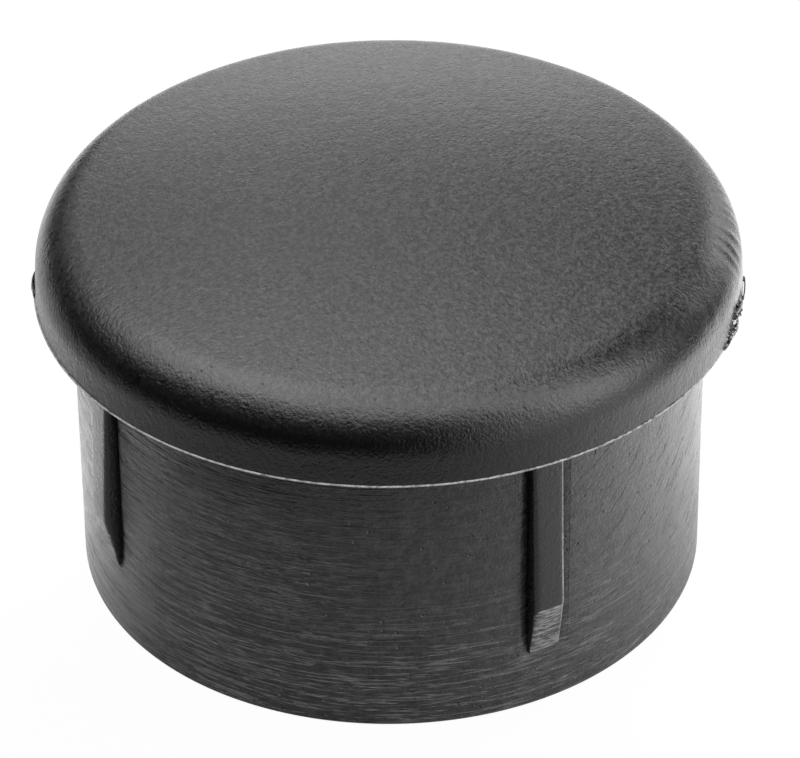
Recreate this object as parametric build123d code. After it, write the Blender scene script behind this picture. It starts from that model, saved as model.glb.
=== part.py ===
from build123d import *
import math
import os

# End cap that plugs the open end of a round handle tube, moulded in one piece.
# Millimetres and degrees. +Z points out of the tube, and the origin is the centre of the open end.

# Tube that the cap closes
tube_outer_diameter = 25.0
tube_wall = 1.0

# Head: a short drafted land, a rounded edge and a shallow dome
land_height = 1.05
land_draft = 3.4
edge_radius = 2.15
dome_radius = 48.0

# Witness of the mould's parting line around the rim
lip_height = 0.12
lip_depth = 0.05

# Barrel that slides into the tube
barrel_clearance = 0.38
barrel_length = 11.35
barrel_draft = 0.18
mouth_chamfer = 0.2

# Hollow, open at the mouth
barrel_wall = 1.4
hollow_draft = 0.5
top_thickness = 1.8
hollow_corner_radius = 1.2

# Crush ribs: low under the head, prouder towards a sloping lead at their lower end
rib_count = 4
first_rib_angle = -90.0
rib_width = 1.15
rib_edge_radius = 0.12
rib_bend_radius = 2.0
rib_crush = 0.14
rib_relief = 0.12
crest_start = 4.5
rib_lead = 2.05
short_rib_lead = 1.5
short_rib = 3
rib_root_depth = 0.1

# Torn gate, and thin flash beside it and opposite, rooted in the rim
gate_angle = -43.5
gate_width = 2.8
gate_height = 0.8
gate_proud = 0.2
gate_break_taper = 20.0
rim_root_depth = 0.5
sliver_angle = -33.0
vent_mark_angle = 154.0
flash_length = 1.3
flash_height = 0.35
flash_proud = 0.08

# Sizes that follow from the ones above
tube_bore = tube_outer_diameter - 2 * tube_wall
head_radius = tube_outer_diameter / 2
mouth_radius = tube_bore / 2 - barrel_clearance
barrel_top_radius = mouth_radius + barrel_length * math.tan(math.radians(barrel_draft))

# The dome is centred on the axis and runs on smoothly from the rounded edge
land_angle = math.radians(land_draft)
land_top_height = barrel_length + land_height
land_top_radius = head_radius - lip_depth - (land_height - lip_height) * math.tan(land_angle)
edge_centre_radius = land_top_radius - edge_radius * math.cos(land_angle)
edge_centre_height = land_top_height - edge_radius * math.sin(land_angle)
dome_start = math.degrees(math.acos(edge_centre_radius / (dome_radius - edge_radius)))
dome_centre_height = edge_centre_height - edge_centre_radius * math.tan(math.radians(dome_start))


def outer_body():
    """Barrel and head as one turned form."""
    barrel_side = Polyline(
        (0, 0),
        (mouth_radius, 0),
        (barrel_top_radius, barrel_length),
        (head_radius, barrel_length),
        (head_radius, barrel_length + lip_height),
        (head_radius - lip_depth, barrel_length + lip_height),
        (land_top_radius, land_top_height),
    )
    land_direction = (-math.sin(land_angle), math.cos(land_angle))
    edge_round = JernArc(barrel_side @ 1, land_direction, edge_radius, dome_start - land_draft)
    dome = JernArc(edge_round @ 1, edge_round % 1, dome_radius, 90 - dome_start)
    axis_line = Line(dome @ 1, (0, 0))
    section = make_face(barrel_side + edge_round + dome + axis_line)
    body = revolve(Plane.XZ * section, Axis.Z)
    return chamfer(body.edges().group_by(Axis.Z)[0], mouth_chamfer)


def hollow():
    """Space inside the barrel, with a flat floor whose rim lies one top thickness below the dome."""
    open_radius = mouth_radius - barrel_wall
    floor_radius = open_radius - barrel_length * math.tan(math.radians(hollow_draft))
    dome_height = dome_centre_height + math.sqrt(dome_radius**2 - floor_radius**2)
    floor_height = dome_height - top_thickness
    half_outline = Polyline(
        (0, 0),
        (open_radius, 0),
        (floor_radius, floor_height),
        (0, floor_height),
        close=True,
    )
    section = make_face(half_outline)
    corner = section.vertices().sort_by(Axis.X)[-2:].sort_by(Axis.Y)[-1]
    return revolve(Plane.XZ * fillet(corner, hollow_corner_radius), Axis.Z)


def rib(lead_length):
    """One crush rib along +X, sunk a little into the barrel."""
    lead_end = crest_start - lead_length
    lead_end_radius = mouth_radius + lead_end * math.tan(math.radians(barrel_draft))
    crest_radius = tube_bore / 2 + rib_crush
    crest_top_radius = tube_bore / 2 - rib_relief
    slope = (crest_radius - lead_end_radius) / lead_length
    inner_radius = mouth_radius - barrel_wall / 2
    side = Polyline(
        (inner_radius, barrel_length),
        (crest_top_radius, barrel_length),
        (crest_radius, crest_start),
        (lead_end_radius - rib_root_depth, lead_end - rib_root_depth / slope),
        (inner_radius, lead_end - rib_root_depth / slope),
        close=True,
    )
    outline = make_face(side)
    bend = outline.vertices().sort_by(Axis.X)[-1]
    blade = extrude(Plane.XZ * fillet(bend, rib_bend_radius), rib_width / 2, both=True)
    flanks = blade.edges().group_by(Axis.Y)
    outer_edges = flanks[0].sort_by(Axis.X)[-3:] + flanks[-1].sort_by(Axis.X)[-3:]
    return fillet(outer_edges, rib_edge_radius)


def ribs():
    """All the crush ribs, with the shorter lead on one of them."""
    placed = []
    for index in range(rib_count):
        angle = first_rib_angle + index * 360 / rib_count
        lead_length = short_rib_lead if index == short_rib else rib_lead
        placed.append(Rot(0, 0, angle) * rib(lead_length))
    return placed


def rim_plane(angle):
    """Upright plane that touches the rim's lower edge, with X along the rim and Y up."""
    out = Vector(1, 0, 0).rotate(Axis.Z, angle)
    around = Vector(0, 1, 0).rotate(Axis.Z, angle)
    return Plane(origin=out * head_radius + Vector(0, 0, barrel_length), x_dir=around, z_dir=out)


def torn_gate():
    """Ragged stub where the runner was broken off the rim."""
    half = gate_width / 2
    outline = Polyline(
        (-half, 0),
        (-0.85 * half, 0.7 * gate_height),
        (-0.35 * half, gate_height),
        (0.1 * half, 0.75 * gate_height),
        (0.5 * half, gate_height),
        (0.9 * half, 0.65 * gate_height),
        (half, 0),
        close=True,
    )
    root = extrude(make_face(outline), -rim_root_depth)
    stub = extrude(make_face(outline), gate_proud, taper=gate_break_taper)
    return rim_plane(gate_angle) * (root + stub)


def flash(angle):
    """Thin crescent of flash on the rim, standing on the parting line."""
    half = flash_length / 2
    root = Polyline((-half, 0), (-half, -rim_root_depth), (half, -rim_root_depth), (half, 0))
    bulge = ThreePointArc((half, 0), (0, flash_proud), (-half, 0))
    crescent = extrude(make_face(root + bulge), flash_height)
    return Rot(0, 0, angle - 90) * (Pos(0, head_radius, barrel_length) * crescent)


def end_cap():
    cap = outer_body() - hollow()
    for piece in ribs():
        cap += piece
    cap += torn_gate()
    cap += flash(sliver_angle)
    cap += flash(vent_mark_angle)
    return cap


os.makedirs("parts", exist_ok=True)
export_step(end_cap(), "parts/end_cap.step")
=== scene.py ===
import math

import bmesh
import bpy
from mathutils import Matrix, Vector, noise


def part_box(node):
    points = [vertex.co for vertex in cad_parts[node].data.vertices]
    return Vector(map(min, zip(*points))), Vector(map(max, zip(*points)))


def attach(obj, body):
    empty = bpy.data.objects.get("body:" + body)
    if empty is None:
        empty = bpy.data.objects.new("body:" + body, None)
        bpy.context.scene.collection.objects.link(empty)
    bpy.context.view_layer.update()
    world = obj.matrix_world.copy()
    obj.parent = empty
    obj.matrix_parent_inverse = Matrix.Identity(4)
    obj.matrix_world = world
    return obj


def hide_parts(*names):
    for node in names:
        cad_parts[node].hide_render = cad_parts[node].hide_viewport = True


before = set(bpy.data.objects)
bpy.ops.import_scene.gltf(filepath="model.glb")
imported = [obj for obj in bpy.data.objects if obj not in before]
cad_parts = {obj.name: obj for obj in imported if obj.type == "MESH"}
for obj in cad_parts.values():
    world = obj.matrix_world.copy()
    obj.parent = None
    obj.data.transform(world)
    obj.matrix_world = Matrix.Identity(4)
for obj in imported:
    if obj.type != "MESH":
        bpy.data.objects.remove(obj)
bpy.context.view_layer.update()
mm = 0.001  # one millimetre, in the scene's metres
noise.seed_set(1)  # noise_vector takes its seed from the clock without this

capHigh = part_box("end_cap")[1]
headRadius = capHigh.x / mm
print("frame loaded: head radius", round(headRadius, 2), "mm, height", round(capHigh.z / mm, 2), "mm")


# Camera, where the photograph was taken from: angles in degrees, lengths in mm
photoView = {
    "azimuth": -27.98,
    "elevation": 35.18,
    "distance": 185.7,
    "aimHeight": 8.0,
    "aimRight": 0.36,
    "aimUp": -0.875,
    "tilt": -0.483,
    "lens": 234.97,
    "sensor": 36.0,
    "clipStart": 1.0,
}


def makeCamera():
    azimuth = math.radians(photoView["azimuth"])
    elevation = math.radians(photoView["elevation"])
    away = Vector((
        math.sin(azimuth) * math.cos(elevation),
        -math.cos(azimuth) * math.cos(elevation),
        math.sin(elevation),
    ))
    centre = Vector((0, 0, photoView["aimHeight"]))
    place = centre + away * photoView["distance"]
    right = Vector((math.cos(azimuth), math.sin(azimuth), 0))
    up = away.cross(right)
    aim = centre + right * photoView["aimRight"] + up * photoView["aimUp"]
    turn = (aim - place).to_track_quat("-Z", "Y").to_matrix()
    turn = turn @ Matrix.Rotation(math.radians(photoView["tilt"]), 3, "Z")
    lens = bpy.data.cameras.new("photoCamera")
    lens.lens = photoView["lens"]
    lens.sensor_width = photoView["sensor"]
    lens.clip_start = photoView["clipStart"] * mm
    lens.dof.use_dof = False
    camera = bpy.data.objects.new("photoCamera", lens)
    camera.matrix_world = Matrix.Translation(place * mm) @ turn.to_4x4()
    bpy.context.scene.collection.objects.link(camera)
    bpy.context.scene.camera = camera


# The cap's own section, in mm: the barrel stands on z = 0 and the head's shoulder is at shoulderHeight
capForm = {
    "shoulderHeight": 11.35,
    "mouthRadius": 11.12,
    "barrelDraft": 0.18,
    "mouthRound": 0.28,
    "innerMouthRound": 0.1,
    "wall": 1.4,
    "hollowDraft": 0.5,
    "hollowFloor": 12.83,
    "hollowCorner": 1.2,
    "shoulderFillet": 0.08,
    "lipRound": 0.045,
    "lipDraft": 0.003,
    "lipHeight": 0.075,
    "lipDepth": 0.05,
    "landHeight": 1.05,
    "landDraft": 3.4,
    "edgeRadius": 2.15,
    "domeRadius": 48.0,
    "smallRound": 0.3,  # share of a tiny rounding's reach at which its middle point lies
}

# Rows of the mesh along each stretch of the section
sectionRows = {
    "floor": 6,
    "hollowCorner": 6,
    "hollowWall": 8,
    "innerMouth": 3,
    "mouthFace": 3,
    "mouthRound": 6,
    "barrel": ((2.3, 5), (5.3, 30)),  # height in mm and rows up to it: closest at the foot of the ribs
    "barrelTop": 14,
    "shoulder": 4,
    "lip": 2,
    "land": 12,
    "edge": 32,
    "dome": 32,
}
weldReach = 0.0005  # mm
nearly = 1e-4  # mm

# Crush ribs, in mm and degrees
capRibs = {
    "angles": (-90, 0, 90, 180),
    "shortAngle": 180,
    "zone": 5.2,
    "zoneSlack": 0.001,
    "columns": (2, 7, 8, 12, 16),  # from the zone's edge to the groove, its bottom, side, crest and middle
    "width": 1.17,
    "edgeRound": 0.17,
    "edgeShare": 0.4,  # the most that the rounding takes of a low rib's rise
    "grooveWidth": 0.65,
    "grooveDepth": 0.17,
    "grooveCurve": 3,
    "grooveFullRise": 0.25,
    "outlineFullRise": 0.06,
    "topRadius": 11.38,
    "crestRadius": 11.64,
    "crestStart": 4.5,
    "leadEnd": 2.45,
    "shortLeadEnd": 3.1,
    "endStep": 0.07,
    "endSlack": 0.002,
    "bendBlend": 0.03,
    "betweenWalls": 10.9,  # a radius between the hollow's wall and the barrel's
    "rimFade": 0.95,  # share of the way out on the shoulder from which its rows are round again
}

# Columns of the mesh up to each angle in degrees: finer where the rim is torn and flashed
capSectors = (
    (-50.0, 72),
    (-5.2, 98),
    (5.2, 32),
    (24.0, 40),
    (84.8, 31),
    (95.2, 32),
    (148.0, 27),
    (160.0, 24),
    (174.8, 7),
    (185.2, 32),
    (259.0, 50),
    (264.8, 12),
    (275.2, 32),
)


def straightRun(bm, start, radius, height, steps):
    first = start.co.copy()
    last = Vector((radius, 0, height))
    for step in range(1, steps + 1):
        start = bmesh.ops.extrude_vert_indiv(bm, verts=[start])["verts"][0]
        start.co = first.lerp(last, step / steps)
    return start


def roundRun(bm, start, radius, height, degrees, steps):
    made = bmesh.ops.spin(
        bm,
        geom=[start],
        cent=(radius, 0, height),
        axis=(0, 1, 0),
        angle=math.radians(-degrees),
        steps=steps,
    )
    return [part for part in made["geom_last"] if isinstance(part, bmesh.types.BMVert)][0]


def barrelRadius(height):
    return capForm["mouthRadius"] + height * math.tan(math.radians(capForm["barrelDraft"]))


def drawSection(bm):
    form = capForm
    rows = sectionRows
    shoulder = form["shoulderHeight"]
    draft = math.tan(math.radians(form["hollowDraft"]))
    openRadius = form["mouthRadius"] - form["wall"]
    corner = form["hollowCorner"]
    floorRadius = openRadius - (form["hollowFloor"] - corner) * draft

    # hollow: floor, rounded corner and wall, down to the mouth
    end = bm.verts.new((0, 0, form["hollowFloor"]))
    end = straightRun(bm, end, floorRadius - corner, form["hollowFloor"], rows["floor"])
    end = roundRun(bm, end, floorRadius - corner, form["hollowFloor"] - corner, -90, rows["hollowCorner"])
    inner = form["innerMouthRound"]
    end = straightRun(bm, end, openRadius, inner, rows["hollowWall"])
    end = roundRun(bm, end, openRadius + inner, inner, 90, rows["innerMouth"])
    outer = form["mouthRound"]
    end = straightRun(bm, end, form["mouthRadius"] - outer, 0, rows["mouthFace"])
    end = roundRun(bm, end, form["mouthRadius"] - outer, outer, 90, rows["mouthRound"])

    # barrel and shoulder
    fillet = form["shoulderFillet"]
    for height, steps in (*rows["barrel"], (shoulder - fillet, rows["barrelTop"])):
        end = straightRun(bm, end, barrelRadius(height), height, steps)
    top = barrelRadius(shoulder)
    small = form["smallRound"]
    end = straightRun(bm, end, top + small * fillet, shoulder - small * fillet, 1)
    end = straightRun(bm, end, top + fillet, shoulder, 1)
    end = straightRun(bm, end, headRadius - form["lipRound"], shoulder, rows["shoulder"])

    # flash lip, land, rounded edge and dome
    lipTop = shoulder + form["lipHeight"]
    landRadius = headRadius - form["lipDepth"]
    lipRound = form["lipRound"]
    end = straightRun(bm, end, headRadius - small * lipRound, shoulder + small * lipRound, 1)
    end = straightRun(bm, end, headRadius - form["lipDraft"], shoulder + lipRound, 1)
    end = straightRun(bm, end, landRadius, lipTop, rows["lip"])
    landAngle = math.radians(form["landDraft"])
    landTop = shoulder + form["landHeight"]
    landTopRadius = landRadius - (landTop - lipTop) * math.tan(landAngle)
    end = straightRun(bm, end, landTopRadius, landTop, rows["land"])
    edge = form["edgeRadius"]
    edgeX = landTopRadius - edge * math.cos(landAngle)
    edgeZ = landTop - edge * math.sin(landAngle)
    domeStart = math.degrees(math.acos(edgeX / (form["domeRadius"] - edge)))
    end = roundRun(bm, end, edgeX, edgeZ, domeStart - form["landDraft"], rows["edge"])
    domeZ = edgeZ - edgeX * math.tan(math.radians(domeStart))
    end = roundRun(bm, end, 0, domeZ, 90 - domeStart, rows["dome"])
    end.co.x = 0


def addMesh(bm, part):
    mesh = bpy.data.meshes.new("part")
    part.to_mesh(mesh)
    part.free()
    bm.from_mesh(mesh)
    bpy.data.meshes.remove(mesh)


def turnSection(bm):
    # each sector is spun by itself, because a spin slows down with the size of its mesh
    angle = capSectors[-1][0] - 360
    for reach, columns in capSectors:
        sector = bmesh.new()
        drawSection(sector)
        start = Matrix.Rotation(math.radians(angle), 3, "Z")
        bmesh.ops.rotate(sector, verts=sector.verts, cent=(0, 0, 0), matrix=start)
        bmesh.ops.spin(
            sector,
            geom=list(sector.verts) + list(sector.edges),
            cent=(0, 0, 0),
            axis=(0, 0, 1),
            angle=math.radians(reach - angle),
            steps=columns,
        )
        addMesh(bm, sector)
        angle = reach
    bmesh.ops.remove_doubles(bm, verts=bm.verts, dist=weldReach)
    bmesh.ops.recalc_face_normals(bm, faces=bm.faces)


def angleOf(place):
    return math.degrees(math.atan2(place.y, place.x))


def around(angle, middle):
    return (angle - middle + 180) % 360 - 180


def blendIn(value, low, high):
    share = min(max((value - low) / (high - low), 0), 1)
    return share * share * (3 - 2 * share)


def ribHeight(height, leadEnd):
    # how far the rib stands off the barrel at a height: the crest leans outward on the way down to its lead
    ribs = capRibs
    shoulder = capForm["shoulderHeight"]
    barrel = barrelRadius(height)
    down = (shoulder - height) / (shoulder - ribs["crestStart"])
    crest = ribs["topRadius"] + (ribs["crestRadius"] - ribs["topRadius"]) * down - barrel
    bend = ribs["crestRadius"] - barrelRadius(ribs["crestStart"])
    slope = (bend - ribs["endStep"]) / (ribs["crestStart"] - ribs["leadEnd"])
    lead = ribs["endStep"] + (height - leadEnd) * slope
    if lead < ribs["endStep"] - ribs["endSlack"]:
        return 0
    blend = ribs["bendBlend"]
    return -blend * math.log(math.exp(-crest / blend) + math.exp(-lead / blend))


def ribOutline(share, rise):
    # the rib's cross-section: share runs from 0 at the zone's edge to 1 at its middle, down into the groove
    # beside the rib, up its side and over a rounded edge to the flat crest
    ribs = capRibs
    half = ribs["width"] / 2
    reach = math.radians(ribs["zone"]) * capForm["mouthRadius"]
    groove = ribs["grooveDepth"] * min(rise / ribs["grooveFullRise"], 1)
    edge = min(ribs["edgeRound"], ribs["edgeShare"] * rise)
    outside, bottom, side, crest, middle = ribs["columns"]
    step = share * middle
    if step <= outside:
        across, up = reach + (half + ribs["grooveWidth"] - reach) * step / outside, 0
    elif step <= bottom:
        inward = (step - outside) / (bottom - outside)
        across, up = half + ribs["grooveWidth"] * (1 - inward), -groove * inward ** ribs["grooveCurve"]
    elif step <= side:
        across, up = half, (rise - edge + groove) * (step - bottom) / (side - bottom) - groove
    elif step <= crest:
        turn = math.radians(90 * (step - side) / (crest - side))
        across, up = half - edge + edge * math.cos(turn), rise - edge + edge * math.sin(turn)
    else:
        across, up = (half - edge) * (middle - step) / (middle - crest), rise
    even = reach * (1 - share)
    return even + (across - even) * blendIn(rise, 0, ribs["outlineFullRise"]), up


def leadEndOf(ribAngle):
    return capRibs["shortLeadEnd"] if ribAngle == capRibs["shortAngle"] else capRibs["leadEnd"]


def raiseRibs(bm):
    ribs = capRibs
    shoulder = capForm["shoulderHeight"]
    top = barrelRadius(shoulder) + capForm["shoulderFillet"]
    for vert in bm.verts:
        radius = math.hypot(vert.co.x, vert.co.y)
        height = vert.co.z
        onWall = ribs["betweenWalls"] < radius < top + nearly
        onBarrel = onWall and capForm["mouthRound"] < height < shoulder + nearly
        onShoulder = abs(height - shoulder) < nearly and radius > top
        if not (onBarrel or onShoulder):
            continue
        for ribAngle in ribs["angles"]:
            off = around(angleOf(vert.co), ribAngle)
            if abs(off) > ribs["zone"] - ribs["zoneSlack"]:
                continue
            rise = ribHeight(height, leadEndOf(ribAngle))
            if rise <= 0:
                continue
            across, up = ribOutline(1 - abs(off) / ribs["zone"], rise)
            base = min(radius, top)
            outward = math.sqrt(base * base - across * across) + (max(up, 0) if onShoulder else up)
            across = math.copysign(across, off)
            if onShoulder:  # the shoulder's rows pass from the rib's outline to the round rim
                fade = (radius - top) / (headRadius - top)
                evenAcross = radius * math.sin(math.radians(off))
                evenOutward = radius * math.cos(math.radians(off))
                outward = max(outward, outward + (headRadius - outward) * fade)
                across += (evenAcross * headRadius / radius - across) * fade
                if fade > ribs["rimFade"]:
                    across, outward = evenAcross, evenOutward
            turn = math.radians(ribAngle)
            vert.co.x = outward * math.cos(turn) - across * math.sin(turn)
            vert.co.y = outward * math.sin(turn) + across * math.cos(turn)


# Marks that moulding left on the head: angles in degrees, the rest in mm
headMarks = {
    # shrinkage dents: angle, distance from the axis, reach around, reach across, depth
    "dents": (
        (-52.5, 11.45, 2.1, 1.3, 0.052),
        (-60.5, 11.6, 1.2, 0.9, 0.008),
    ),
    "dentRagged": 0.35,
    "dentDetail": 1.6,
    "waveDepth": 0.014,
    "waveLength": 5.5,
    "waveRoughness": (0.6, 2.2, 2),  # how fast it fades towards fine detail, the step in detail and the count
    "waveLevel": 0.55,
    "waveFull": 1.0,  # height above the land over which the wave comes in
    "belowEdge": 0.3,  # how far under the top of the land the marks begin
    "leastUpward": 0.02,
}

# Flow ripples above the gate, running down over the rounded edge: a few strong ones beside it and finer ones
# further on. Angles in degrees around the head, low and high in degrees up the rounded edge, depth in mm.
headRipples = {
    "low": (6.0, 22.0),
    "high": (40.0, 62.0),
    "strongIn": (-42.5, -37.0),
    "strongOut": (-34.0, -12.0),
    "strongPitch": 3.2,
    "strongDepth": 0.026,
    "fineIn": (-36.0, -28.0),
    "fineOut": (-16.0, -8.0),
    "finePitch": 1.75,
    "fineDepth": 0.007,
    "lean": 0.052,
    "shift": 0.34,
    "wander": 0.35,
    "wanderPlace": (0.16, 0.03, 4),
}

# Thin flash along the rim's lower edge: how far it wanders, in mm, and where it is rough or bare, in degrees
rimFlash = {
    "reachIn": 0.2,
    "slack": 0.01,
    "cleanWander": 0.005,
    "roughAngle": -76.0,
    "roughReach": 50.0,
    "roughWander": 0.024,
    "length": 0.35,
    "shortShare": 0.3,
    "shortShift": Vector((7, 0, 0)),
    "shortRise": 0.7,
    "upAndDown": 1.4,
    "stillHeight": 0.03,
    "bareIn": (-66.0, -61.0),
    "bareOut": (-22.0, -14.0),
    "bareShare": 0.85,
}

# Torn gate on the land, in degrees and mm
tornGate = {
    "start": -49.3,
    "end": -36.0,
    "height": 0.86,
    "depth": 0.26,
    "grain": 0.36,
    "grainUp": 2.2,  # the torn ridges are this much longer around the rim than up it
    "fineGrain": 2.7,
    "fineShare": 0.8,
    "level": 0.45,
    "fullReach": 0.55,
    "raggedTop": 0.18,
    "raggedDetail": 2.5,
    "rimMargin": 0.005,
    "margin": 0.15,
}

shredMesh = {"sides": 8, "cuts": 2, "smooth": 0.6, "ragged": 0.05, "raggedDetail": 5}

# Torn threads and slivers of plastic: each stop is angle, height, radius, width up and down, thickness
shreds = {
    "upperFlake": (
        (-38.0, 11.58, 12.40, 0.08, 0.05),
        (-39.3, 11.70, 12.49, 0.18, 0.09),
        (-40.8, 11.82, 12.50, 0.24, 0.10),
        (-42.2, 11.90, 12.48, 0.16, 0.09),
        (-43.4, 11.96, 12.39, 0.08, 0.05),
    ),
    "lowerFlake": (
        (-42.2, 11.42, 12.42, 0.10, 0.06),
        (-43.8, 11.50, 12.53, 0.22, 0.10),
        (-45.4, 11.56, 12.56, 0.28, 0.11),
        (-46.8, 11.52, 12.52, 0.20, 0.09),
        (-48.0, 11.46, 12.42, 0.08, 0.06),
    ),
    "tornStrand": (
        (-43.6, 11.70, 12.42, 0.08, 0.06),
        (-44.6, 11.80, 12.49, 0.14, 0.08),
        (-45.8, 11.80, 12.48, 0.14, 0.08),
        (-46.8, 11.74, 12.40, 0.08, 0.06),
    ),
    "tail": (
        (-47.0, 11.40, 12.43, 0.06, 0.05),
        (-48.2, 11.39, 12.50, 0.10, 0.07),
        (-49.4, 11.39, 12.50, 0.08, 0.06),
        (-50.6, 11.40, 12.43, 0.04, 0.04),
    ),
    "sliver": (
        (-29.4, 11.44, 12.44, 0.04, 0.04),
        (-31.2, 11.46, 12.50, 0.07, 0.05),
        (-33.0, 11.45, 12.505, 0.08, 0.05),
        (-34.8, 11.43, 12.49, 0.06, 0.05),
        (-36.4, 11.42, 12.43, 0.04, 0.04),
    ),
    "ventMark": (
        (150.8, 11.52, 12.38, 0.14, 0.08),
        (152.4, 11.52, 12.48, 0.28, 0.10),
        (154.4, 11.51, 12.505, 0.34, 0.11),
        (156.4, 11.49, 12.48, 0.28, 0.10),
        (158.0, 11.48, 12.38, 0.14, 0.08),
    ),
}


def bump(distance):
    # a smooth hill: 1 in the middle, 0 from a distance of 1
    return blendIn(1 - abs(distance), 0, 1)


def within(value, rise, fall):
    # 0 to 1 over the rise and back to 0 over the fall, each a pair of ends
    return blendIn(value, *rise) * (1 - blendIn(value, *fall))


def sharpWave(phase):
    # a wave with sharp crests and round troughs, from 1 to -1
    return 1 - 2 * abs(math.sin(math.pi * phase))


def ripples(angle, tilt):
    form = headRipples
    along = within(tilt, form["low"], form["high"])
    if along == 0:
        return 0
    aroundStep, upStep, layer = form["wanderPlace"]
    wander = form["wander"] * noise.noise(Vector((angle * aroundStep, tilt * upStep, layer)))
    across = angle + form["lean"] * tilt
    strong = form["strongDepth"] * sharpWave(across / form["strongPitch"] + form["shift"] + wander)
    fine = form["fineDepth"] * sharpWave(across / form["finePitch"] + 2 * wander)
    strong *= within(angle, form["strongIn"], form["strongOut"])
    fine *= within(angle, form["fineIn"], form["fineOut"])
    return along * (strong + fine)


def dents(place, angle, radius):
    depth = 0
    for middle, distance, reachAround, reachAcross, dentDepth in headMarks["dents"]:
        off = math.radians(around(angle, middle)) * distance / reachAround
        across = (radius - distance) / reachAcross
        edge = 1 + headMarks["dentRagged"] * noise.noise(place * headMarks["dentDetail"])
        depth += dentDepth * bump(min(math.hypot(off, across) * edge, 1))
    return depth


def markHead(bm):
    # shrinkage waves, dents and ripples, as moves along the surface's own direction
    marks = headMarks
    landTop = capForm["shoulderHeight"] + capForm["landHeight"]
    bm.normal_update()
    moves = []
    for vert in bm.verts:
        if vert.co.z < landTop - marks["belowEdge"] or vert.normal.z < marks["leastUpward"]:
            continue
        radius = math.hypot(vert.co.x, vert.co.y)
        angle = angleOf(vert.co)
        tilt = math.degrees(math.asin(min(vert.normal.z, 1)))
        wave = noise.fractal(vert.co / marks["waveLength"], *marks["waveRoughness"]) - marks["waveLevel"]
        offset = marks["waveDepth"] * min(wave, 0) * blendIn(vert.co.z, landTop, landTop + marks["waveFull"])
        offset += ripples(angle, tilt) - dents(vert.co, angle, radius)
        moves.append((vert, vert.normal * offset))
    for vert, move in moves:
        vert.co += move


def roughenRim(bm):
    # the flash on the parting line wanders, and the land is torn beside it where the gate broke off
    shoulder = capForm["shoulderHeight"]
    gate = tornGate
    for vert in bm.verts:
        radius = math.hypot(vert.co.x, vert.co.y)
        rise = vert.co.z - shoulder
        if radius < headRadius - rimFlash["reachIn"] or not -nearly < rise < gate["height"] + gate["margin"]:
            continue
        angle = angleOf(vert.co)
        outward = Vector((vert.co.x, vert.co.y, 0)) / radius
        lipInside = headRadius - capForm["lipDepth"]
        if rise < capForm["lipHeight"] + rimFlash["slack"] and radius > lipInside - rimFlash["slack"] / 2:
            rough = bump(min(abs(around(angle, rimFlash["roughAngle"])) / rimFlash["roughReach"], 1))
            wander = rimFlash["cleanWander"] + (rimFlash["roughWander"] - rimFlash["cleanWander"]) * rough
            long = noise.noise(vert.co / rimFlash["length"])
            shortPlace = vert.co / (rimFlash["shortShare"] * rimFlash["length"]) + rimFlash["shortShift"]
            short = noise.noise(shortPlace)
            vert.co -= outward * wander * abs(long + rimFlash["shortRise"] * short)
            if rise > rimFlash["stillHeight"]:
                vert.co.z += wander * (rimFlash["upAndDown"] * long + short)
            bare = rimFlash["bareShare"] * within(angle, rimFlash["bareIn"], rimFlash["bareOut"])
            vert.co -= outward * bare * max(radius - lipInside, 0)
        off = abs(around(angle, (gate["start"] + gate["end"]) / 2)) / ((gate["end"] - gate["start"]) / 2)
        if off < 1 and rise > gate["rimMargin"]:
            ragged = rise + gate["raggedTop"] * noise.noise(vert.co * gate["raggedDetail"])
            share = 1 - blendIn(off, gate["fullReach"], 1)
            share *= 1 - blendIn(ragged, gate["height"] / 2, gate["height"])
            grain = Vector((vert.co.x, vert.co.y, gate["grainUp"] * vert.co.z)) / gate["grain"]
            fine = abs(noise.noise(grain * gate["fineGrain"]))
            ridge = 1 - 2 * abs(noise.noise(grain)) - gate["fineShare"] * fine
            vert.co += outward * share * gate["depth"] * (ridge - gate["level"])


def ringEdges(shred, ring):
    # in the mesh's own order, so that each run gives the same shred
    return [edge for edge in shred.edges if edge.verts[0] in ring and edge.verts[1] in ring]


def pullShred(bm, stops):
    # a closed thread of plastic through its stops, thin at both ends
    places = [
        Vector((radius * math.cos(math.radians(angle)), radius * math.sin(math.radians(angle)), height))
        for angle, height, radius, width, thickness in stops
    ]
    frames = []
    for number, (angle, height, radius, width, thickness) in enumerate(stops):
        along = (places[min(number + 1, len(stops) - 1)] - places[max(number - 1, 0)]).normalized()
        outward = Vector((math.cos(math.radians(angle)), math.sin(math.radians(angle)), 0))
        outward = (outward - along * outward.dot(along)).normalized()
        turn = Matrix((outward * thickness, along.cross(outward) * width, along)).transposed()
        frames.append(Matrix.Translation(places[number]) @ turn.to_4x4())
    shred = bmesh.new()
    ring = bmesh.ops.create_circle(shred, cap_ends=True, segments=shredMesh["sides"], radius=0.5)["verts"]
    bmesh.ops.transform(shred, matrix=frames[0], verts=ring)
    for last, following in zip(frames, frames[1:]):
        grown = bmesh.ops.extrude_edge_only(shred, edges=ringEdges(shred, ring))["geom"]
        ring = [part for part in grown if isinstance(part, bmesh.types.BMVert)]
        bmesh.ops.transform(shred, matrix=following @ last.inverted(), verts=ring)
    bmesh.ops.edgeloop_fill(shred, edges=ringEdges(shred, ring))
    bmesh.ops.subdivide_edges(shred, edges=shred.edges, cuts=shredMesh["cuts"], smooth=shredMesh["smooth"],
                              use_grid_fill=True)
    narrowest = min(width for angle, height, radius, width, thickness in stops[1:-1])
    for vert in shred.verts:  # torn, not drawn
        vert.co += shredMesh["ragged"] * noise.noise_vector(vert.co * shredMesh["raggedDetail"]) * narrowest
    bmesh.ops.recalc_face_normals(shred, faces=shred.faces)
    addMesh(bm, shred)


sharpFrom = 40  # degrees between two faces from which their edge is sharp


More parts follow.
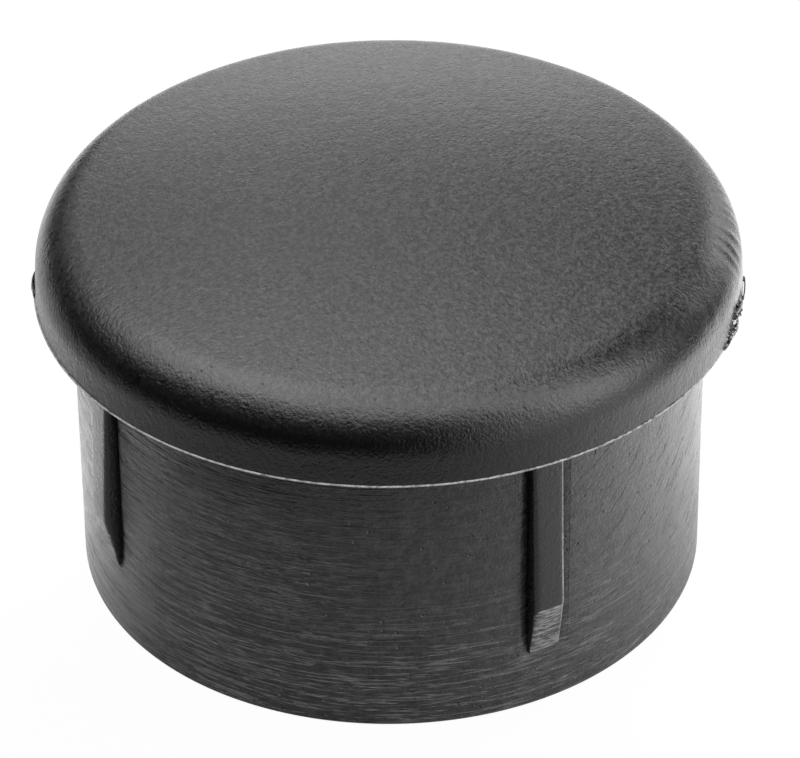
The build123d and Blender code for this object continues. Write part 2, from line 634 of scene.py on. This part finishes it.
def makeCap():
    bm = bmesh.new()
    turnSection(bm)
    raiseRibs(bm)
    markHead(bm)
    roughenRim(bm)
    for stops in shreds.values():
        pullShred(bm, stops)
    for edge in bm.edges:
        edge.smooth = not (edge.is_manifold and edge.calc_face_angle() > math.radians(sharpFrom))
    for face in bm.faces:
        face.smooth = True
        face.material_index = finishOf(face)
    print("cap:", len(bm.verts), "vertices,", len(bm.faces), "faces,",
          sum(not edge.is_manifold for edge in bm.edges), "open edges")
    bmesh.ops.scale(bm, vec=(mm, mm, mm), verts=bm.verts)
    mesh = bpy.data.meshes.new("blackCap")
    bm.to_mesh(mesh)
    bm.free()
    for material in makeFinishes():
        mesh.materials.append(material)
    cap = bpy.data.objects.new("blackCap", mesh)
    bpy.context.scene.collection.objects.link(cap)
    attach(cap, "root")
    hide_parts("end_cap")


def linearColour(hexCode):
    channels = [int(hexCode[place:place + 2], 16) / 255 for place in (1, 3, 5)]
    curve = [value / 12.92 if value <= 0.04045 else ((value + 0.055) / 1.055) ** 2.4 for value in channels]
    return (*curve, 1)


def addNode(tree, kind, settings=None, values=None, links=None):
    # one node with its settings, its fixed inputs and what feeds it: a socket, or a node for its first output
    node = tree.nodes.new(kind)
    for name, value in (settings or {}).items():
        setattr(node, name, value)
    for name, value in (values or {}).items():
        node.inputs[name].default_value = value
    for name, source in (links or {}).items():
        socket = source if isinstance(source, bpy.types.NodeSocket) else source.outputs[0]
        tree.links.new(socket, node.inputs[name])
    return node


def startMaterial(name):
    # a material without nodes, and its coordinates in mm
    material = bpy.data.materials.new(name)
    material.use_nodes = True
    tree = material.node_tree
    tree.nodes.clear()
    place = addNode(tree, "ShaderNodeTexCoord").outputs["Object"]
    inMm = addNode(tree, "ShaderNodeVectorMath", {"operation": "SCALE"}, {"Scale": 1 / mm}, {0: place})
    return material, tree, inMm


def drawCloser(tree, place, closeness):
    # the same coordinates with patterns drawn closer up the cap
    return addNode(tree, "ShaderNodeVectorMath", {"operation": "MULTIPLY"}, {1: (1, 1, closeness)},
                   {0: place})


dotFlat = 0.4  # share of a dot's reach inside which it is full


def scatterDots(tree, place, dots):
    # round dots in a share of the cells of a loose pattern: spacing and size in mm
    cells = addNode(tree, "ShaderNodeTexVoronoi", values={"Scale": 1 / dots["spacing"]},
                    links={"Vector": place})
    chance = addNode(tree, "ShaderNodeSeparateColor", links={"Color": cells.outputs["Color"]})
    chosen = addNode(tree, "ShaderNodeMath", {"operation": "LESS_THAN"}, {1: dots["share"]}, {0: chance})
    reach = 0.5 * dots["size"] / dots["spacing"]
    return addNode(tree, "ShaderNodeMapRange", values={"From Min": reach, "From Max": dotFlat * reach},
                   links={"Value": cells, "To Max": chosen})


noiseRange = {"From Min": 0.3, "From Max": 0.7}  # where most of a noise pattern lies


def finishMaterial(material, heights, tints, roughness, plastic):
    # heights: patterns with their depths in mm. tints: patterns with the colour that each brings.
    # roughness: a pattern and its range.
    tree = material.node_tree
    relief = None
    for pattern, depth in heights:
        below = {} if relief is None else {2: relief}
        relief = addNode(tree, "ShaderNodeMath", {"operation": "MULTIPLY_ADD"}, {1: depth, 2: 0.0},
                         {0: pattern, **below})
    normal = addNode(tree, "ShaderNodeBump", values={"Strength": 1.0, "Distance": mm},
                     links={"Height": relief})
    colour = addNode(tree, "ShaderNodeRGB").outputs[0]
    colour.default_value = linearColour(plastic["colour"])
    for pattern, tint in tints:
        colour = addNode(tree, "ShaderNodeMix", {"data_type": "RGBA"}, {7: linearColour(tint)},
                         {0: pattern, 6: colour}).outputs[2]
    pattern, low, high = roughness
    gloss = addNode(tree, "ShaderNodeMapRange", values={**noiseRange, "To Min": low, "To Max": high},
                    links={"Value": pattern})
    shader = addNode(tree, "ShaderNodeBsdfPrincipled", values={"IOR": plastic["ior"]},
                     links={"Base Color": colour, "Roughness": gloss, "Normal": normal})
    addNode(tree, "ShaderNodeOutputMaterial", links={"Surface": shader})
    return material


# Black ABS: near black all through, so what the eye sees is mostly the studio in its surface
blackPlastic = {"colour": "#070707", "ior": 1.54}

# Head: moulded against spark-eroded steel. The eye gets a fine matt grain with a few pits, and where it
# points up a blotchy painted sheen with light specks that are painted glints.
erodedFinish = {
    "grain": {"Scale": 9.0, "Detail": 2.0, "Roughness": 0.6},
    "grainDepth": 0.022,
    "swell": {"Scale": 2.4, "Detail": 3.0, "Roughness": 0.6},
    "swellDepth": 0.02,
    "upward": {"From Min": 0.35, "From Max": 0.93},
    # painted sheen: lighter blotches where the head points up
    "sheenNoise": {"Scale": 5.5, "Detail": 4.0, "Roughness": 0.8},
    "sheenRange": {"From Min": 0.42, "From Max": 0.68},
    "paintedSheenColour": "#383838",
    # painted glints: light specks where the head points up
    "specks": {"spacing": 0.3, "size": 0.09, "share": 0.2},
    "speckColour": "#444444",
    "pits": {"spacing": 0.36, "size": 0.11, "share": 0.2},
    "pitDepth": -0.022,
    "roughness": (0.25, 0.31),
}


def sparkErodedPlastic():
    finish = erodedFinish
    material, tree, place = startMaterial("sparkErodedBlackPlastic")
    grain = addNode(tree, "ShaderNodeTexNoise", values=finish["grain"], links={"Vector": place})
    swell = addNode(tree, "ShaderNodeTexNoise", values=finish["swell"], links={"Vector": place})
    sheenNoise = addNode(tree, "ShaderNodeTexNoise", values=finish["sheenNoise"], links={"Vector": place})
    facing = addNode(tree, "ShaderNodeTexCoord").outputs["Normal"]
    facing = addNode(tree, "ShaderNodeSeparateXYZ", links={0: facing}).outputs["Z"]
    upward = addNode(tree, "ShaderNodeMapRange", values=finish["upward"], links={"Value": facing})
    # painted sheen and painted glints, only on faces that point up
    paintedSheen = addNode(tree, "ShaderNodeMapRange", values=finish["sheenRange"],
                    links={"Value": sheenNoise, "To Max": upward})
    specks = addNode(tree, "ShaderNodeMath", {"operation": "MULTIPLY"},
                     links={0: scatterDots(tree, place, finish["specks"]), 1: upward})
    pits = addNode(tree, "ShaderNodeMath", {"operation": "MULTIPLY"},
                   links={0: scatterDots(tree, place, finish["pits"]), 1: upward})
    heights = [(grain, finish["grainDepth"]), (swell, finish["swellDepth"]), (pits, finish["pitDepth"])]
    tints = [(paintedSheen, finish["paintedSheenColour"]), (specks, finish["speckColour"])]
    return finishMaterial(material, heights, tints, (swell, *finish["roughness"]), blackPlastic)


# Barrel: moulded in a turned bore. The eye gets thin broken lines around it, strongest near the mouth where
# the cap was dragged out, tinted lighter as a painted highlight; gouges beside the left rib, painted light as
# a lighter tint on the side beyond it, scrapes to the right, and a fine grain with pits.
turnedFinish = {
    "colour": "#121212",
    "closeness": 21.0,  # how much closer the lines lie up the barrel than they are long around it
    "line": {"Scale": 0.2, "Detail": 3.0, "Roughness": 0.62},
    "lineWidth": 0.03,
    # painted highlight: the lines are tinted lighter to stand for light on their relief
    "lineHighlightColour": "#5c5c5c",
    "lineDepth": 0.02,
    "band": {"Scale": 0.3, "Detail": 3.0, "Roughness": 0.7},
    "bandDepth": 0.1,
    "dragged": (6.0, 2.6, 0.12),  # heights in mm where the lines start and are full, and their share above
    "gouge": {"Scale": 0.22, "Detail": 3.0, "Roughness": 0.7},
    "gougeRange": {"From Min": 0.51, "From Max": 0.64},
    "gougeDepth": -0.075,
    "gougeSide": (-75, 1.5, 8.5),  # azimuth, and the way out to that side in mm where it starts and is full
    "scrape": {"Scale": 0.8, "Detail": 3.0, "Roughness": 0.6},
    "scrapeTurn": -38.0,
    "scrapeCloseness": 7.0,
    "scrapeRange": {"From Min": 0.57, "From Max": 0.67},
    "scrapeDepth": -0.04,
    "scrapeSide": (62, 8.5, 11.0),
    # painted light: a lighter tint on the barrel's side towards the camera's left, where the light falls
    "paintedLightSide": (-90, 8.0, 10.2),
    "paintedLightRange": {"From Min": 0.34, "From Max": 0.6},
    "paintedLightColour": "#7c7c7c",
    "grain": {"Scale": 7.5, "Detail": 2.0, "Roughness": 0.65},
    "grainDepth": 0.036,
    "blotch": {"Scale": 3.0, "Detail": 5.0, "Roughness": 0.8},
    "blotchRange": {"From Min": 0.42, "From Max": 0.7},
    "blotchColour": "#383838",
    "specks": {"spacing": 0.42, "size": 0.09, "share": 0.14},
    "speckColour": "#505050",
    "pits": {"spacing": 0.4, "size": 0.15, "share": 0.34},
    "pitDepth": -0.06,
    "roughness": (0.25, 0.33),
}


def towardSide(tree, place, azimuth, start, full):
    # 0 to 1 across the barrel towards an azimuth from the camera
    way = addNode(tree, "ShaderNodeVectorMath", {"operation": "DOT_PRODUCT"}, {1: aroundCamera(azimuth, 0)},
                  {0: place}).outputs["Value"]
    return addNode(tree, "ShaderNodeMapRange", values={"From Min": start, "From Max": full},
                   links={"Value": way})


def turnedMouldPlastic():
    finish = turnedFinish
    material, tree, place = startMaterial("turnedMouldBlackPlastic")
    stretched = drawCloser(tree, place, finish["closeness"])
    grain = addNode(tree, "ShaderNodeTexNoise", values=finish["grain"], links={"Vector": place})
    blotch = addNode(tree, "ShaderNodeTexNoise", values=finish["blotch"], links={"Vector": place})
    blotches = addNode(tree, "ShaderNodeMapRange", values=finish["blotchRange"], links={"Value": blotch})
    height = addNode(tree, "ShaderNodeSeparateXYZ", links={0: place}).outputs["Z"]
    start, full, share = finish["dragged"]
    low = addNode(tree, "ShaderNodeMapRange", values={"From Min": start, "From Max": full, "To Min": share},
                  links={"Value": height})
    beside = towardSide(tree, place, *finish["gougeSide"])
    dragged = addNode(tree, "ShaderNodeMath", {"operation": "MAXIMUM"}, links={0: low, 1: beside})
    waves = addNode(tree, "ShaderNodeTexNoise", values=finish["line"], links={"Vector": stretched})
    ridge = addNode(tree, "ShaderNodeMath", {"operation": "PINGPONG"}, {1: 0.5}, {0: waves})
    lines = addNode(tree, "ShaderNodeMapRange",
                    values={"From Min": 0.5 - finish["lineWidth"], "From Max": 0.5},
                    links={"Value": ridge, "To Max": dragged})
    bands = addNode(tree, "ShaderNodeTexNoise", values=finish["band"], links={"Vector": stretched})
    bandRise = addNode(tree, "ShaderNodeMath", {"operation": "MULTIPLY"}, links={0: bands, 1: dragged})
    gouge = addNode(tree, "ShaderNodeTexNoise", values=finish["gouge"], links={"Vector": stretched})
    gouges = addNode(tree, "ShaderNodeMapRange", values=finish["gougeRange"],
                     links={"Value": gouge, "To Max": beside})
    leaning = addNode(tree, "ShaderNodeVectorRotate", {"rotation_type": "AXIS_ANGLE"},
                      {"Axis": aroundCamera(finish["scrapeSide"][0], 0),
                       "Angle": math.radians(finish["scrapeTurn"])}, {"Vector": place})
    leaning = addNode(tree, "ShaderNodeVectorMath", {"operation": "MULTIPLY"},
                      {1: (1, 1, finish["scrapeCloseness"])}, {0: leaning})
    scrape = addNode(tree, "ShaderNodeTexNoise", values=finish["scrape"], links={"Vector": leaning})
    scrapes = addNode(tree, "ShaderNodeMapRange", values=finish["scrapeRange"],
                      links={"Value": scrape, "To Max": towardSide(tree, place, *finish["scrapeSide"])})
    # painted light on the barrel's side towards the camera's left
    paintedLight = addNode(tree, "ShaderNodeMapRange", values=finish["paintedLightRange"],
                   links={"Value": bands, "To Max": towardSide(tree, place, *finish["paintedLightSide"])})
    specks = scatterDots(tree, place, finish["specks"])
    pits = scatterDots(tree, place, finish["pits"])
    heights = [
        (lines, finish["lineDepth"]),
        (bandRise, finish["bandDepth"]),
        (gouges, finish["gougeDepth"]),
        (scrapes, finish["scrapeDepth"]),
        (grain, finish["grainDepth"]),
        (pits, finish["pitDepth"]),
    ]
    tints = [
        (blotches, finish["blotchColour"]),
        (paintedLight, finish["paintedLightColour"]),
        # painted highlight along the lines
        (lines, finish["lineHighlightColour"]),
        (specks, finish["speckColour"]),
    ]
    plastic = {**blackPlastic, "colour": finish["colour"]}
    return finishMaterial(material, heights, tints, (bands, *finish["roughness"]), plastic)


# Rib leads: the mould was cut there with a small ball cutter. The eye gets level cutter marks with painted
# highlights on their crests, and a lighter base colour that is painted light for the broad reflection of
# these faces.
milledFinish = {
    # painted light: a lighter base for the broad reflection of the rough faces
    "colour": "#202020",
    "closeness": 4.5,  # how much closer the marks lie than they are long
    "marks": {"Scale": 2.6, "Detail": 3.0, "Roughness": 0.7},
    "depth": 0.045,
    "crestHighlightRange": {"From Min": 0.42, "From Max": 0.62},
    # painted highlight on the marks' crests
    "crest": "#8a8a8a",
    "roughness": (0.34, 0.5),
}


def milledLeadPlastic():
    finish = milledFinish
    material, tree, place = startMaterial("milledMouldBlackPlastic")
    stretched = drawCloser(tree, place, finish["closeness"])
    marks = addNode(tree, "ShaderNodeTexNoise", values=finish["marks"], links={"Vector": stretched})
    paintedCrestHighlights = addNode(tree, "ShaderNodeMapRange", values=finish["crestHighlightRange"], links={"Value": marks})
    plastic = {**blackPlastic, "colour": finish["colour"]}
    return finishMaterial(material, [(marks, finish["depth"])], [(paintedCrestHighlights, finish["crest"])],
                          (marks, *finish["roughness"]), plastic)


# One edge of each long rib, the bend of every lead, the rim's lip and the mouth's edge: a painted highlight
# where these edges catch the light. The eye gets a thin pale line, broken here and there.
edgeHighlightFinish = {
    "colour": "#161616",
    "edgePattern": {"Scale": 3.5, "Detail": 3.0, "Roughness": 0.7},
    "edgePatternDepth": 0.01,
    "paleRange": {"From Min": 0.32, "From Max": 0.54},
    # painted highlight colour of the edges
    "pale": "#8e8e8e",
    "roughness": (0.3, 0.45),
}


def paintedEdgeHighlightPlastic():
    finish = edgeHighlightFinish
    material, tree, place = startMaterial("paintedHighlightBlackPlastic")
    edgePattern = addNode(tree, "ShaderNodeTexNoise", values=finish["edgePattern"], links={"Vector": place})
    pale = addNode(tree, "ShaderNodeMapRange", values=finish["paleRange"], links={"Value": edgePattern})
    plastic = {**blackPlastic, "colour": finish["colour"]}
    return finishMaterial(material, [(edgePattern, finish["edgePatternDepth"])], [(pale, finish["pale"])],
                          (edgePattern, *finish["roughness"]), plastic)


# Inside and under the head: a plain moulded face, a little shinier, with soft flow marks.
plainFinish = {
    "closeness": 0.4,
    "flow": {"Scale": 0.75, "Detail": 2.0, "Distortion": 0.5},
    "flowDepth": 0.02,
    "paler": "#141414",
    "grain": {"Scale": 8.0, "Detail": 1.0},
    "grainDepth": 0.003,
    "roughness": (0.25, 0.32),
}


def plainMouldedPlastic():
    finish = plainFinish
    material, tree, place = startMaterial("plainMouldedBlackPlastic")
    stretched = drawCloser(tree, place, finish["closeness"])
    flow = addNode(tree, "ShaderNodeTexNoise", values=finish["flow"], links={"Vector": stretched})
    grain = addNode(tree, "ShaderNodeTexNoise", values=finish["grain"], links={"Vector": place})
    heights = [(flow, finish["flowDepth"]), (grain, finish["grainDepth"])]
    tints = [(flow, finish["paler"])]
    return finishMaterial(material, heights, tints, (flow, *finish["roughness"]), blackPlastic)


# Torn gate and flash: stretched until it broke. The eye gets a rough face with pale stress marks.
tornFinish = {
    "closeness": 2,
    "fibres": {"Scale": 6.0, "Detail": 3.0, "Distortion": 0.8},
    "fibreDepth": 0.05,
    "stressRange": {"From Min": 0.56, "From Max": 0.64},
    "stressed": "#b4b4b4",
    "roughness": (0.3, 0.6),
}


def tornPlastic():
    finish = tornFinish
    material, tree, place = startMaterial("tornBlackPlastic")
    stretched = drawCloser(tree, place, finish["closeness"])
    fibres = addNode(tree, "ShaderNodeTexNoise", values=finish["fibres"], links={"Vector": stretched})
    stress = addNode(tree, "ShaderNodeMapRange", values=finish["stressRange"], links={"Value": fibres})
    return finishMaterial(material, [(fibres, finish["fibreDepth"])], [(stress, finish["stressed"])],
                          (fibres, *finish["roughness"]), blackPlastic)


# Where one finish passes into the next: heights and radii in mm, angles in degrees, leans as the normal's
# upward part
finishLimits = {
    "outsideHollow": 11.3,
    "aboveFloor": 0.2,
    "slack": 0.001,
    "tornAround": 0.44,  # share of the gate's width to each side of its middle, and of its height
    "tornUp": 0.62,
    "insideMouth": 0.3,
    "highlightMouth": 0.14,
    "ribRise": 0.02,
    "highlightLean": (25, 70),
    "leadLean": -0.1,
    "endLean": -0.6,
    "bendReach": 0.1,
}


def finishOf(face):
    # which finish a face has: 0 head and ribs, 1 barrel, 2 leads, 3 hollow and underside, 4 torn, 5 painted
    # edge highlight
    limits = finishLimits
    middle = face.calc_center_median()
    radius = math.hypot(middle.x, middle.y)
    angle = angleOf(middle)
    shoulder = capForm["shoulderHeight"]
    if middle.z > shoulder + limits["slack"] and radius > limits["outsideHollow"]:
        gate = tornGate
        off = abs(around(angle, (gate["start"] + gate["end"]) / 2)) / (gate["end"] - gate["start"])
        if off < limits["tornAround"] and middle.z < shoulder + limits["tornUp"] * gate["height"]:
            return 4
        # the rim's lip gets the painted edge highlight
        return 5 if middle.z < shoulder + capForm["lipHeight"] else 0
    if middle.z > capForm["hollowFloor"] + limits["aboveFloor"]:
        return 0
    if middle.z > shoulder - limits["slack"] or radius < capForm["mouthRadius"] - limits["insideMouth"]:
        return 3
    # the mouth's edge gets the painted edge highlight
    if middle.z < limits["highlightMouth"]:
        return 5
    off, ribAngle = min((abs(around(angle, ribAngle)), ribAngle) for ribAngle in capRibs["angles"])
    across = math.radians(off) * radius
    onRib = across < capRibs["width"] / 2 + limits["ribRise"]
    onSide = onRib and ribHeight(middle.z, leadEndOf(ribAngle)) > 0
    raised = radius > barrelRadius(middle.z) + limits["ribRise"]
    if off > capRibs["zone"] or not (onSide or raised):
        return 1
    # painted highlight on the one edge of each long rib that faces the light, and on each lead's bend
    low, high = limits["highlightLean"]
    onEdge = low < around(angleOf(face.normal), ribAngle) < high and ribAngle != capRibs["shortAngle"]
    if middle.z < capRibs["crestStart"] and face.normal.z < limits["leadLean"]:
        onBend = middle.z > capRibs["crestStart"] - limits["bendReach"]
        return 5 if onEdge or onBend or face.normal.z < limits["endLean"] else 2
    return 5 if onEdge else 0


def makeFinishes():
    return [sparkErodedPlastic(), turnedMouldPlastic(), milledLeadPlastic(), plainMouldedPlastic(),
            tornPlastic(), paintedEdgeHighlightPlastic()]


# Pale paper under the cap: a round sheet in mm, with painted shade that makes it greyer towards the camera,
# where its light falls off
paleSheet = {
    "radius": 62.0,
    "behind": 20.0,
    # painted shade towards the camera
    "shadedFront": "#9c9c9c",
    "back": "#f6f6f6",
    "fadeToward": 150,
    "fadeAcross": 26.0,
    "paleShare": 0.97,  # how much of its own white the camera sees in place of the shaded paper
}


def aroundCamera(azimuth, elevation):
    # a direction: azimuth to the right of the camera, and elevation, in degrees
    turn = math.radians(photoView["azimuth"] - 90 + azimuth)
    rise = math.radians(elevation)
    return Vector((math.cos(turn) * math.cos(rise), math.sin(turn) * math.cos(rise), math.sin(rise)))


def paleFloor():
    material, tree, place = startMaterial("paleFloor")
    sheet = paleSheet
    across = addNode(tree, "ShaderNodeVectorMath", {"operation": "DOT_PRODUCT"},
                     {1: aroundCamera(sheet["fadeToward"], 0)}, {0: place})
    share = addNode(tree, "ShaderNodeMapRange",
                    values={"From Min": -0.5 * sheet["fadeAcross"], "From Max": 0.5 * sheet["fadeAcross"]},
                    links={"Value": across.outputs["Value"]})
    colour = addNode(tree, "ShaderNodeMix", {"data_type": "RGBA"},
                     {6: linearColour(sheet["shadedFront"]), 7: linearColour(sheet["back"])}, {0: share}).outputs[2]
    paper = addNode(tree, "ShaderNodeBsdfDiffuse", links={"Color": colour})
    white = addNode(tree, "ShaderNodeEmission", values={"Strength": 1.0})
    path = addNode(tree, "ShaderNodeLightPath")
    seen = addNode(tree, "ShaderNodeMath", {"operation": "MULTIPLY"}, {1: sheet["paleShare"]},
                   {0: path.outputs["Is Camera Ray"]})
    mixed = addNode(tree, "ShaderNodeMixShader", links={0: seen, 1: paper, 2: white})
    addNode(tree, "ShaderNodeOutputMaterial", links={"Surface": mixed})
    return material


def makeFloor():
    bm = bmesh.new()
    sheet = bmesh.ops.create_circle(bm, cap_ends=True, segments=128, radius=paleSheet["radius"] * mm)["verts"]
    bmesh.ops.translate(bm, verts=sheet, vec=aroundCamera(180, 0) * paleSheet["behind"] * mm)
    mesh = bpy.data.meshes.new("floor")
    bm.to_mesh(mesh)
    bm.free()
    mesh.materials.append(paleFloor())
    floor = bpy.data.objects.new("floor", mesh)
    bpy.context.scene.collection.objects.link(floor)
    return floor


# Soft lights around the cap, far off: azimuth to the right of the camera, elevation, the reach of the full
# light and of its soft edge in degrees, and how bright it is, where 1 is white
softLights = {
    "overhead": (-60, 82, 8, 42, 1.5),
    "topBack": (180, 62, 6, 34, 1.6),
    "topLeft": (-100, 56, 6, 34, 2.6),
    "frontTop": (-20, 62, 6, 28, 1.4),
    "topRight": (45, 58, 6, 30, 1.7),
    "right": (62, 38, 6, 28, 1.6),
    "rightLow": (70, 18, 6, 24, 2.2),
    "frontRightLow": (58, 0, 8, 46, 1.4),
    "rightRimLow": (105, 14, 6, 24, 0.25),
    "backLow": (180, 10, 6, 24, 1.75),
    "backRightLow": (140, 10, 6, 24, 2.15),
    "backLeft": (-150, 36, 6, 28, 0.65),
}

# Lamps that hang over the paper and leave no glint in the plastic, so that only the paper's light comes up at
# the barrel's sides: azimuth, distance from the axis, height and width in mm, and brightness
paperLamps = {
    "paperLampRight": (95, 28, 60, 26, 2.1),
    "paperLampFrontRight": (50, 24, 60, 22, 1.2),
    "paperLampLeft": (-88, 22, 30, 16, 0.9),
    "paperLampLeftLow": (-98, 18, 16, 10, 3.6),
}
lampSpread = 60  # degrees


def makeLamps():
    for name, (azimuth, far, height, wide, white) in paperLamps.items():
        box = bpy.data.lights.new(name, "AREA")
        box.shape = "DISK"
        box.size = wide * mm
        box.energy = white * math.pi * box.size ** 2
        box.spread = math.radians(lampSpread)
        lamp = bpy.data.objects.new(name, box)
        lamp.location = (aroundCamera(azimuth, 0) * far + Vector((0, 0, height))) * mm
        lamp.visible_camera = False
        lamp.visible_glossy = False
        bpy.context.scene.collection.objects.link(lamp)


def makeWorld():
    world = bpy.data.worlds.new("studioWorld")
    bpy.context.scene.world = world
    world.use_nodes = True
    tree = world.node_tree
    tree.nodes.clear()
    direction = addNode(tree, "ShaderNodeTexCoord").outputs["Generated"]
    total = None
    for azimuth, elevation, full, edge, white in softLights.values():
        toward = addNode(tree, "ShaderNodeVectorMath", {"operation": "DOT_PRODUCT"},
                         {1: aroundCamera(azimuth, elevation)}, {0: direction}).outputs["Value"]
        glow = addNode(tree, "ShaderNodeMapRange", {"interpolation_type": "SMOOTHSTEP"},
                       {"From Min": math.cos(math.radians(edge)), "From Max": math.cos(math.radians(full)),
                        "To Max": white}, {"Value": toward})
        before = {} if total is None else {1: total}
        total = addNode(tree, "ShaderNodeMath", {"operation": "ADD"}, {1: 0.0}, {0: glow, **before})
    lit = addNode(tree, "ShaderNodeBackground", values={"Color": (1, 1, 1, 1)}, links={"Strength": total})
    white = addNode(tree, "ShaderNodeBackground", values={"Color": (1, 1, 1, 1), "Strength": 1.0})
    path = addNode(tree, "ShaderNodeLightPath")
    mixed = addNode(tree, "ShaderNodeMixShader", links={0: path.outputs["Is Camera Ray"], 1: lit, 2: white})
    addNode(tree, "ShaderNodeOutputWorld", links={"Surface": mixed})


bpy.context.scene.view_settings.view_transform = "Standard"
makeCamera()
makeCap()
makeFloor()
makeLamps()
makeWorld()
